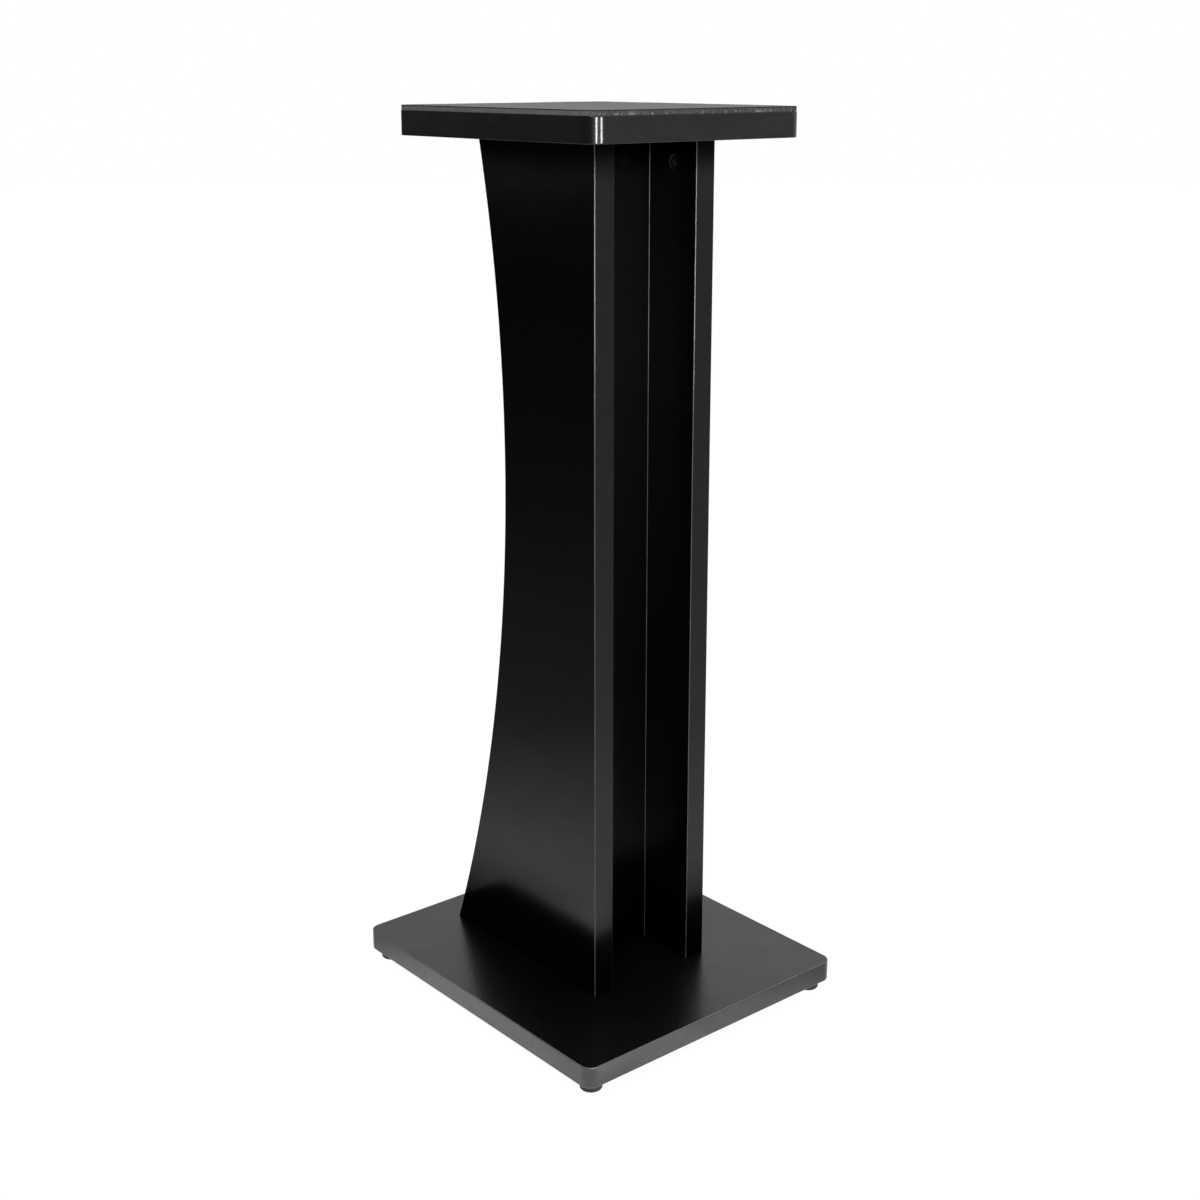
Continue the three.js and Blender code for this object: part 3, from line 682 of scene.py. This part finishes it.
class STAND_OT_boards(bpy.types.Operator):
    """Make the two side boards with their concave rear edge, and the web panel between them"""

    bl_idname = "speaker_stand.boards"
    bl_label = "Side boards and web"

    def execute(self, context):
        shape = context.scene.stand_shape
        for side, sign in SIDES.items():
            self.side_board(side, sign, shape)
        self.web(shape)
        return {"FINISHED"}

    def side_board(self, side, sign, shape):
        """The board's cross-section, a rectangle with eased corners, carried up from end to end. Its
        rear edge lies on an arc about a centre far behind, so a rear corner's normal turns from the
        side's direction to the one that points at that centre."""
        low, high = extent(f"side_board_{side}")
        ease = shape.edge_ease
        level = np.linspace(low[2], high[2], shape.rear_steps + 1)[:, None]
        waist = low[2] + shape.waist_height
        centre = low[1] + shape.waist_depth + shape.rear_radius
        rear = centre - np.sqrt(shape.rear_radius**2 - (level - waist) ** 2)

        # The corners of the section, starting so that the inner face lies between the last and first.
        start = 1 if sign < 0 else 3
        number = (start + np.arange(4)) % 4
        quarter = np.linspace(0, QUARTER_TURN, shape.ease_steps + 1)
        angle = ((number - 1)[:, None] * QUARTER_TURN + quarter).ravel()
        across, ahead = np.cos(angle), np.sin(angle)
        outer = np.repeat(np.isin(number, (0, 1)), shape.ease_steps + 1)
        behind = np.repeat(np.isin(number, (1, 2)), shape.ease_steps + 1)
        x = np.where(outer, high[0] - ease, low[0] + ease) + ease * across
        y = np.where(behind, rear - ease, low[1] + ease) + ease * ahead
        points = np.stack(np.broadcast_arrays(x, y, level), -1)
        tilt_y = np.where(behind, (centre - rear) / shape.rear_radius, 1.0)
        tilt_z = np.where(behind, (waist - level) / shape.rear_radius, 0.0)
        normals = np.stack(np.broadcast_arrays(across, ahead * tilt_y, ahead * tilt_z), -1)
        patches = [grid_patch(points, normals, closed=False)]
        patches.append(flat_patch(points[0], (0, 0, -1)))
        patches.append(flat_patch(points[-1], (0, 0, 1)))

        inward = np.array([-sign, 0, 0])
        holes = []
        for end in ENDS:
            hole, ring = self.cam_bore(f"cam_lock_{end}_{side}", points[0, 0, 0], inward, shape)
            patches += hole
            holes.append(ring)
        outline = np.vstack([points[:, 0], points[::-1, -1]])
        patches.append(flat_patch(outline, inward, holes))
        lacquer = black_lacquer("board_lacquer")
        return build(f"side_panel_{side}", patches, [lacquer], f"side_board_{side}")

    def cam_bore(self, cam, face, inward, shape):
        """The blind bore for a cam lock: a broken edge, the wall and a flat bottom."""
        low, high = extent(cam)
        radius = (high[2] - low[2]) / 2 + shape.cam_room
        deepest = high[0] if inward[0] < 0 else low[0]
        depth = abs(deepest - face) + shape.cam_room
        origin = (face, (low[1] + high[1]) / 2, (low[2] + high[2]) / 2)
        edge = shape.bore_break
        steps = [(radius + edge, 0.0), (radius, edge), (radius, depth), (0.0, depth)]
        return bore(origin, inward, (0, 1, 0), steps, shape.round_sides)

    def web(self, shape):
        """The web's front and rear, carried up between the side boards. Each meets them in a small
        hollow bead of lacquer: a quarter circle about a centre in the open corner, whose point is
        that centre plus the radius times a direction that turns from the board to the web."""
        low, high = extent("web_panel")
        bead = shape.joint_bead
        quarter = np.linspace(0, QUARTER_TURN, shape.ease_steps + 1)[:, None]
        patches, rings = [], []
        for face, way in ((low[1], -1), (high[1], 1)):
            side = np.hstack([-np.cos(quarter), -way * np.sin(quarter)])
            centre = np.array([low[0] + bead, face + way * bead])
            left = centre + bead * side
            line = np.vstack([left, left[::-1] * (-1, 1)])
            facing = np.vstack([-side, -side[::-1] * (-1, 1)])
            points = self.carried(line, low[2], high[2])
            patches.append(grid_patch(points, self.carried(facing, 0, 0), closed=False))
            rings.append(points)
        for end in (0, -1):
            points = np.stack([rings[0][:, end], rings[1][:, end]], 1)
            normals = np.broadcast_to([-1.0 if end == 0 else 1.0, 0, 0], points.shape)
            patches.append(grid_patch(points, normals, closed=False))
        for level, up in ((0, -1), (1, 1)):
            patches.append(flat_patch(np.vstack([rings[0][level], rings[1][level, ::-1]]), (0, 0, up)))
        return build("web_board", patches, [black_lacquer("board_lacquer")], "web_panel")

    def carried(self, line, low, high):
        """A line of [x, y] carried from one level to another, as two rows of points."""
        levels = np.array([[low], [high]])
        return np.stack(np.broadcast_arrays(line[:, 0], line[:, 1], levels), -1).astype(float)


class STAND_OT_pad(bpy.types.Operator):
    """Make the thin foam pad, soft on top and with open cells along its cut edge"""

    bl_idname = "speaker_stand.pad"
    bl_label = "Foam pad"

    PITCH = 0.00095  # between neighbouring points of the top
    EDGE_ROUND = 0.0004
    ROUND_ROWS = 4
    WALL_ROWS = 7
    WAVES = 14
    WAVE_LENGTHS = (0.12, 0.006)
    WAVE_FALL = 0.6  # power of its length that a wave's height goes with
    SEED = 12

    def execute(self, context):
        shape = context.scene.stand_shape
        low, high = extent("top_pad")
        half = (high - low)[:2] / 2
        radius = shape.top_corner - (extent("top_plate")[1][0] - high[0])
        chance = np.random.default_rng(self.SEED)

        top, ring, outward = self.top_grid(half, radius)
        rise = self.unevenness(top, chance)
        spots = np.empty((*top.shape[:2], 3))
        spots[..., :2] = top
        spots[..., 2] = high[2] - shape.pad_bow - shape.pad_bow * rise
        surface = self.smooth_patch(spots, closed=False, up=True, slot=0)

        # The edge: a small round from the top, then the cut wall, its points pushed in where a cell is.
        edge_rise = spots[ring[:, 0], ring[:, 1], 2]
        outline = top[ring[:, 0], ring[:, 1]]
        depth, turn = self.EDGE_ROUND, np.linspace(0, QUARTER_TURN, self.ROUND_ROWS)
        none = np.zeros(self.WALL_ROWS)
        inset = np.concatenate([depth * (1 - np.sin(turn)), none])[:, None]
        drop = np.concatenate([depth * (1 - np.cos(turn)), none])[:, None]
        share = np.concatenate([0 * turn, np.linspace(0, 1, self.WALL_ROWS + 1)[1:]])[:, None]
        wall_top = edge_rise - depth
        level = np.where(share == 0, edge_rise - drop, wall_top + share * (low[2] - wall_top))
        pores = shape.pad_pores * chance.random(level.shape) ** 2 * (share > 0) * (share < 1)
        wall = np.empty((*level.shape, 3))
        wall[..., :2] = outline + (depth - inset - pores)[..., None] * outward
        wall[..., 2] = level
        sides = self.smooth_patch(wall, closed=True, up=False, slot=1)
        bottom = flat_patch(wall[-1], (0, 0, -1), slot=1)
        materials = [foam_skin(), foam_cut()]
        pad = build("foam_pad", [surface, sides, bottom], materials, "top_pad")
        return {"FINISHED"}

    def top_grid(self, half, radius):
        """A grid over the rounded rectangle. It is square but for the corners, where the square
        [s, t] goes onto the quarter disc [s * sqrt(1 - t * t / 2), t * sqrt(1 - s * s / 2)]."""
        half, radius = half - self.EDGE_ROUND, radius - self.EDGE_ROUND
        counts = np.round(2 * half / self.PITCH).astype(int)
        x, y = np.meshgrid(*[np.linspace(-h, h, n + 1) for h, n in zip(half, counts)], indexing="ij")
        flat = np.stack([x, y], -1)
        centre = half - radius
        local = np.clip((np.abs(flat) - centre) / radius, 0, None)
        corner = (local > 0).all(-1, keepdims=True)
        round_local = local * np.sqrt(1 - local[..., ::-1] ** 2 / 2)
        flat = np.where(corner, np.sign(flat) * (centre + radius * round_local), flat)

        across, along = np.arange(counts[0]), np.arange(counts[1])
        ring = np.vstack([
            np.stack([across, 0 * across], -1),
            np.stack([0 * along + counts[0], along], -1),
            np.stack([counts[0] - across, 0 * across + counts[1]], -1),
            np.stack([0 * along, counts[1] - along], -1),
        ])
        edge = flat[ring[:, 0], ring[:, 1]]
        outward = np.sign(edge) * np.clip(np.abs(edge) - centre, 0, None)
        outward /= np.linalg.norm(outward, axis=1, keepdims=True)
        return flat, ring, outward

    def unevenness(self, flat, chance):
        """A sum of sine waves in all directions, from a hand's breadth long down to a few
        millimetres, shorter ones lower, between about -1 and 1."""
        waves = np.geomspace(*self.WAVE_LENGTHS, self.WAVES)
        angle, phase = chance.random(self.WAVES) * FULL_TURN, chance.random(self.WAVES) * FULL_TURN
        total = np.zeros(flat.shape[:2])
        for size, turn, start in zip(waves, angle, phase):
            along = flat[..., 0] * math.cos(turn) + flat[..., 1] * math.sin(turn)
            height = (size / waves[0]) ** self.WAVE_FALL
            total += height * np.sin(FULL_TURN * along / size + start)
        return total / np.abs(total).max()

    def smooth_patch(self, points, closed, up, slot):
        """A grid patch whose normals are worked out from its own slopes along rows and columns."""
        across = np.gradient(points, axis=0)
        if closed:
            along = np.roll(points, -1, axis=1) - np.roll(points, 1, axis=1)
        else:
            along = np.gradient(points, axis=1)
        normals = np.cross(across, along)
        normals /= np.maximum(np.linalg.norm(normals, axis=-1, keepdims=True), TINY)
        wanted = np.array([0.0, 0.0, 1.0]) if up else points - points.mean((0, 1))
        flip = np.sign((normals * wanted).sum())
        return grid_patch(points, flip * normals, closed=closed, slot=slot)


class STAND_OT_feet(bpy.types.Operator):
    """Make the four turned rubber feet, with a well for the screw in each"""

    bl_idname = "speaker_stand.feet"
    bl_label = "Rubber feet"

    SOFT_EDGE = 0.0004
    LIP_HEIGHT = 0.0012
    LIP_DEPTH = 0.0003
    SCREW_HOLE = 0.0022

    def execute(self, context):
        shape = context.scene.stand_shape
        for place in PLACES:
            self.foot(place, shape)
        return {"FINISHED"}

    def foot(self, place, shape):
        """A closed profile turned about the foot's axis: the floor ring, the rounded outer bottom, the
        wall with a thin lip under the plate, the screw's hole and the well, all corners rounded."""
        low, high = extent(f"foot_{place}")
        middle = (low + high) / 2
        outer, tall = (high[0] - low[0]) / 2, high[2] - low[2]
        hole, well = self.SCREW_HOLE, shape.foot_well
        soft, lip = self.SOFT_EDGE, self.LIP_DEPTH
        ceiling, under_lip = tall - shape.foot_flange, tall - self.LIP_HEIGHT
        profile = [
            (well, 0.0), (outer - lip, 0.0), (outer - lip, under_lip), (outer, under_lip),
            (outer, tall), (hole, tall), (hole, ceiling), (well, ceiling),
        ]
        radii = [soft, shape.foot_round, lip / 2, lip / 2, lip / 2, soft / 4, soft / 2, soft]
        points, normals = filleted(profile, radii, shape.ease_steps + 1)
        points, normals = np.vstack([points, points[:1]]), np.vstack([normals, normals[:1]])
        origin = (middle[0], middle[1], low[2])
        wall = turned(points, normals, origin, (0, 0, 1), (1, 0, 0), shape.round_sides)
        return build(f"rubber_{place}", [wall], [foot_rubber()], f"foot_{place}")


class STAND_OT_cams(bpy.types.Operator):
    """Make the four cam locks from their construction shapes, with the broken edges of a casting"""

    bl_idname = "speaker_stand.cams"
    bl_label = "Cam locks"

    MERGE = 1e-6
    FLAT = math.radians(1)
    BREAK = 0.00035
    SHARPEST = math.radians(35)  # least angle at an edge that is broken

    def execute(self, context):
        for place in PLACES:
            self.cam(place)
        return {"FINISHED"}

    def cam(self, place):
        """The construction node's own surface, with its loose triangles merged, its flat faces made
        whole and each sharp edge broken by a narrow bevel."""
        node = f"cam_lock_{place}"
        shape = bmesh.new()
        shape.from_mesh(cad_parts[node].data)
        bmesh.ops.remove_doubles(shape, verts=shape.verts, dist=self.MERGE)
        bmesh.ops.dissolve_limit(
            shape, angle_limit=self.FLAT, use_dissolve_boundaries=False,
            verts=shape.verts, edges=shape.edges,
        )
        bmesh.ops.recalc_face_normals(shape, faces=shape.faces)
        mesh = bpy.data.meshes.new(f"cam_{place}")
        shape.to_mesh(mesh)
        shape.free()
        mesh.materials.clear()
        mesh.materials.append(metal("cast_zinc"))
        mesh.materials.append(metal("worn_zinc"))
        mesh.polygons.foreach_set("use_smooth", np.ones(len(mesh.polygons), bool))
        cam = placed(f"cam_{place}", mesh)
        bevel = cam.modifiers.new("broken_edges", "BEVEL")
        bevel.width = self.BREAK
        bevel.segments = 2
        bevel.limit_method = "ANGLE"
        bevel.angle_limit = self.SHARPEST
        bevel.harden_normals = True
        bevel.material = 1
        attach(cam, f"cam_{place}")
        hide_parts(node)


class STAND_OT_fittings(bpy.types.Operator):
    """Give the carried-over bolts, screws, washers, inserts and dowels their finishes"""

    bl_idname = "speaker_stand.fittings"
    bl_label = "Fittings"

    STARTS = {
        "zinced_steel": ("cam_bolt_", "base_bolt_", "foot_screw_", "foot_washer_"),
        "turned_brass": ("threaded_insert_",),
        "beech_wood": ("dowel_",),
    }

    def execute(self, context):
        for name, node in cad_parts.items():
            for finish, starts in self.STARTS.items():
                if name.startswith(starts):
                    node.data.materials.clear()
                    node.data.materials.append(metal(finish) if finish in METALS else beech_wood())
        return {"FINISHED"}


# ---------------------------------------------------------------------------------------- studio

# The camera, worked out from the photograph's edges, in this frame. Part of the photograph's upward
# shift is taken as tilt, so that views from other sides hold the whole stand too.
CAMERA_PLACE = (-1.1218, -1.3342, 0.9498)
CAMERA_PITCH = math.radians(14.7284)
CAMERA_HEADING = math.radians(40.188)
CAMERA_LENS_PIXELS = 1774.5
CAMERA_CENTRE_ROW = 532.8
IMAGE_PIXELS = 1200
SENSOR = 36.0
FLOOR_GREY = (0.8, 0.8, 0.8, 1.0)


def around(heading, distance, height):
    """A place at a compass heading from the stand, in degrees from +Y towards +X."""
    turn = math.radians(heading)
    return (distance * math.sin(turn), distance * math.cos(turn), height)


class STAND_OT_stage(bpy.types.Operator):
    """Make the white floor, the lamps, the light all round and the camera"""

    bl_idname = "speaker_stand.stage"
    bl_label = "Studio and camera"

    FLOOR_REACH = 14.0
    FLOOR_SIDES = 96

    # Each lamp's place, the height on the stand's axis that it aims at, its width and height, and the
    # setting that holds its power.
    LAMPS = {
        "overhead_lamp": ((0.25, -0.1, 2.6), 0.4, (1.5, 1.5), "overhead"),
        "key_lamp": (around(-127.0, 1.45, 2.3), 0.3, (0.65, 0.65), "key"),
        "strip_lamp_left": (around(-156.6, 2.45, 0.74), 0.74, (0.26, 0.9), "strip"),
        "strip_lamp_front": (around(170.8, 2.45, 0.74), 0.74, (0.26, 0.9), "strip"),
    }

    # What gloss on the stand sees of the floor, as [distance from the stand, level] stops: a pool all
    # round, a narrow bright lane that only the eased edges catch, and a broad glow in front, near and
    # far. A heading says where its middle lies, where it is full and where it ends, in degrees. Towards
    # the right the floor gains a plain level as well.
    POOL = (
        (0.0, 1.4), (0.22, 1.4), (0.28, 0.72), (0.42, 0.62), (0.52, 0.48), (0.85, 0.15),
        (1.3, 0.11), (2.0, 0.06), (3.0, 0.035), (4.6, 0.025), (6.0, 0.01),
    )
    LANE = (
        (0.0, 0.2), (0.24, 0.25), (0.285, 0.85), (0.6, 1.6), (0.9, 2.1), (1.4, 2.1),
        (3.2, 1.2), (6.0, 0.3),
    )
    LANE_HEADING = (-165.0, 8.0, 18.0)
    GLOW = (
        (0.0, 0.0), (0.24, 0.0), (0.27, 1.0), (0.31, 1.0), (0.36, 0.1), (1.0, 0.05),
        (1.3, 0.2), (1.9, 0.5), (2.9, 0.5), (4.6, 1.2), (6.0, 0.6),
    )
    GLOW_HEADING = (-160.0, 25.0, 45.0)
    RIGHTWARDS = (0.64, -0.77)
    RIGHT_LEVEL = 0.4

    # What gloss sees all round, as [cosine of the angle to the bright side, level] stops, and the level
    # of the faint glow low on the left.
    BRIGHT_SIDE = (0.8, 0.0, 0.6)
    ROOM = (
        (-1.0, 0.005), (-0.4, 0.01), (-0.13, 0.04), (0.1, 0.25), (0.3, 0.42), (0.5, 0.55),
        (0.73, 0.72), (1.0, 0.85),
    )
    LOW_LEFT = 0.17

    def execute(self, context):
        studio = context.scene.stand_studio
        self.floor(studio)
        self.surroundings(context.scene, studio)
        for name, (place, aim, size, setting) in self.LAMPS.items():
            lamp = self.lamp(name, place, aim, size, getattr(studio, setting))
            lamp.visible_diffuse = setting != "strip"
        self.camera(context.scene)
        context.scene.view_settings.view_transform = "Standard"
        return {"FINISHED"}

    def floor(self, studio):
        """A large white disc. The camera sees it white but for a soft shadow, and gloss on the stand
        sees light that fades with distance, with a lane and a glow in front and more on the right."""
        angle = np.arange(self.FLOOR_SIDES) * FULL_TURN / self.FLOOR_SIDES
        rim = self.FLOOR_REACH * np.stack([np.cos(angle), np.sin(angle), 0 * angle], -1)
        points, faces, _, _ = flat_patch(rim, (0, 0, 1))
        mesh = bpy.data.meshes.new("floor")
        mesh.from_pydata(points.tolist(), [], faces.tolist())
        placed("floor", mesh)
        material = bpy.data.materials.new("white_floor")
        material.cycles.emission_sampling = "NONE"
        mesh.materials.append(material)

        graph = Graph(material)
        rays = graph.add("ShaderNodeLightPath").outputs
        spot = graph.parts(graph.place())
        square = graph.plus(graph.maths("POWER", spot["X"], 2.0), graph.maths("POWER", spot["Y"], 2.0))
        distance = graph.maths("MAXIMUM", graph.maths("SQRT", square), 0.01)
        pool = self.fading(graph, distance, self.POOL)
        for stops, heading in ((self.LANE, self.LANE_HEADING), (self.GLOW, self.GLOW_HEADING)):
            beam = self.fading(graph, distance, stops)
            beam = graph.times(beam, self.towards(graph, spot, distance, *heading))
            pool = graph.plus(pool, beam)
        right, ahead = self.RIGHTWARDS
        rightwards = graph.plus(graph.times(spot["X"], right), graph.times(spot["Y"], ahead))
        pool = graph.plus(pool, graph.between(rightwards, 0.15, 0.7, 0.0, self.RIGHT_LEVEL, True))

        white = graph.add("ShaderNodeBsdfDiffuse", {"Color": FLOOR_GREY}).outputs[0]
        seen = graph.blended(1.0 - studio.shadow, white, graph.shining(studio.floor_white))
        plain = graph.blended(rays["Is Camera Ray"], white, seen)
        whole = graph.blended(rays["Is Glossy Ray"], plain, graph.shining(pool))
        graph.add("ShaderNodeOutputMaterial", {"Surface": whole})

    def fading(self, graph, distance, stops):
        """A level that changes with distance, in straight steps between its stops."""
        reach, brightest = stops[-1][0], max(level for _, level in stops)
        shares = [(far / reach, level / brightest) for far, level in stops]
        return graph.times(graph.ramp(graph.maths("DIVIDE", distance, reach), shares), brightest)

    def towards(self, graph, spot, distance, heading, inner, outer):
        """1 within some degrees of a heading from the stand and 0 past some more: the cosine of the
        angle to it is the spot's distance along it over the spot's distance."""
        turn = math.radians(heading)
        across = graph.times(spot["X"], math.sin(turn))
        along = graph.plus(across, graph.times(spot["Y"], math.cos(turn)))
        cosine = graph.maths("DIVIDE", along, distance)
        ends = [math.cos(math.radians(away)) for away in (outer, inner)]
        return graph.between(cosine, *ends, 0.0, 1.0, True)

    def surroundings(self, scene, studio):
        """White all round for the camera and through clear things, a plain level for the light, and
        for gloss a room that is bright on the right and above and dark on the left, but for a faint
        glow low down there."""
        world = bpy.data.worlds.new("studio")
        scene.world = world
        world.cycles.sampling_method = "NONE"
        graph = Graph(world)
        rays = graph.add("ShaderNodeLightPath").outputs
        way = graph.add("ShaderNodeTexCoord").outputs["Generated"]
        cosine = graph.add(
            "ShaderNodeVectorMath", {0: way, 1: self.BRIGHT_SIDE}, operation="DOT_PRODUCT"
        ).outputs["Value"]
        stops = [((side + 1) / 2, level) for side, level in self.ROOM]
        room = graph.ramp(graph.between(cosine, -1.0, 1.0, 0.0, 1.0), stops)
        parts = graph.parts(way)
        left = graph.between(parts["X"], -0.1, -0.5, 0.0, self.LOW_LEFT, True)
        low = graph.between(parts["Z"], 0.04, 0.26, 1.0, 0.0, True)
        room = graph.plus(room, graph.times(left, low))
        shown = graph.plus(rays["Is Camera Ray"], rays["Is Transmission Ray"])
        other = graph.minus(graph.minus(1.0, shown), rays["Is Glossy Ray"])
        level = graph.plus(shown, graph.times(room, rays["Is Glossy Ray"]))
        level = graph.plus(level, graph.times(other, studio.fill))
        background = graph.add("ShaderNodeBackground", {"Color": WHITE, "Strength": level}).outputs[0]
        graph.add("ShaderNodeOutputWorld", {"Surface": background})

    def lamp(self, name, place, aim, size, power):
        """A rectangular lamp at a place, turned to look at the stand's axis at the height of its aim."""
        data = bpy.data.lights.new(name, "AREA")
        data.shape = "RECTANGLE"
        data.size, data.size_y = size
        data.energy = power
        lamp = placed(name, data)
        lamp.location = place
        way = np.subtract((0.0, 0.0, aim), place)
        heading = math.atan2(-way[0], way[1])
        tilt = math.atan2(way[2], math.hypot(way[0], way[1]))
        lamp.rotation_euler = (QUARTER_TURN + tilt, 0.0, heading)
        return lamp

    def camera(self, scene):
        data = bpy.data.cameras.new("camera")
        data.sensor_width = SENSOR
        data.lens = CAMERA_LENS_PIXELS / IMAGE_PIXELS * SENSOR
        data.shift_y = (CAMERA_CENTRE_ROW - IMAGE_PIXELS / 2) / IMAGE_PIXELS
        camera = placed("camera", data)
        camera.location = CAMERA_PLACE
        camera.rotation_euler = (QUARTER_TURN - CAMERA_PITCH, 0.0, -CAMERA_HEADING)
        scene.camera = camera


# ------------------------------------------------------------------------------------ the add-on


class STAND_PT_panel(bpy.types.Panel):
    """Lists the stand's sizes, finishes and makers in the sidebar"""

    bl_idname = "STAND_PT_panel"
    bl_label = "Speaker Stand"
    bl_space_type = "VIEW_3D"
    bl_region_type = "UI"
    bl_category = "Speaker Stand"

    def draw(self, context):
        layout = self.layout
        for name, group in SETTINGS.items():
            box = layout.box()
            for field in group.__annotations__:
                box.prop(getattr(context.scene, name), field)
        for maker in MAKERS:
            layout.operator(maker.bl_idname)


MAKERS = (
    STAND_OT_plates, STAND_OT_boards, STAND_OT_pad, STAND_OT_feet, STAND_OT_cams, STAND_OT_fittings,
    STAND_OT_stage,
)
CLASSES = (*SETTINGS.values(), *MAKERS, STAND_PT_panel)


def register():
    for cls in CLASSES:
        bpy.utils.register_class(cls)
    for name, group in SETTINGS.items():
        setattr(bpy.types.Scene, name, PointerProperty(type=group))


def unregister():
    for name in SETTINGS:
        delattr(bpy.types.Scene, name)
    for cls in reversed(CLASSES):
        bpy.utils.unregister_class(cls)


def main():
    register()
    for maker in MAKERS:
        group, name = maker.bl_idname.split(".")
        getattr(getattr(bpy.ops, group), name)()


if __name__ == "__main__":
    main()
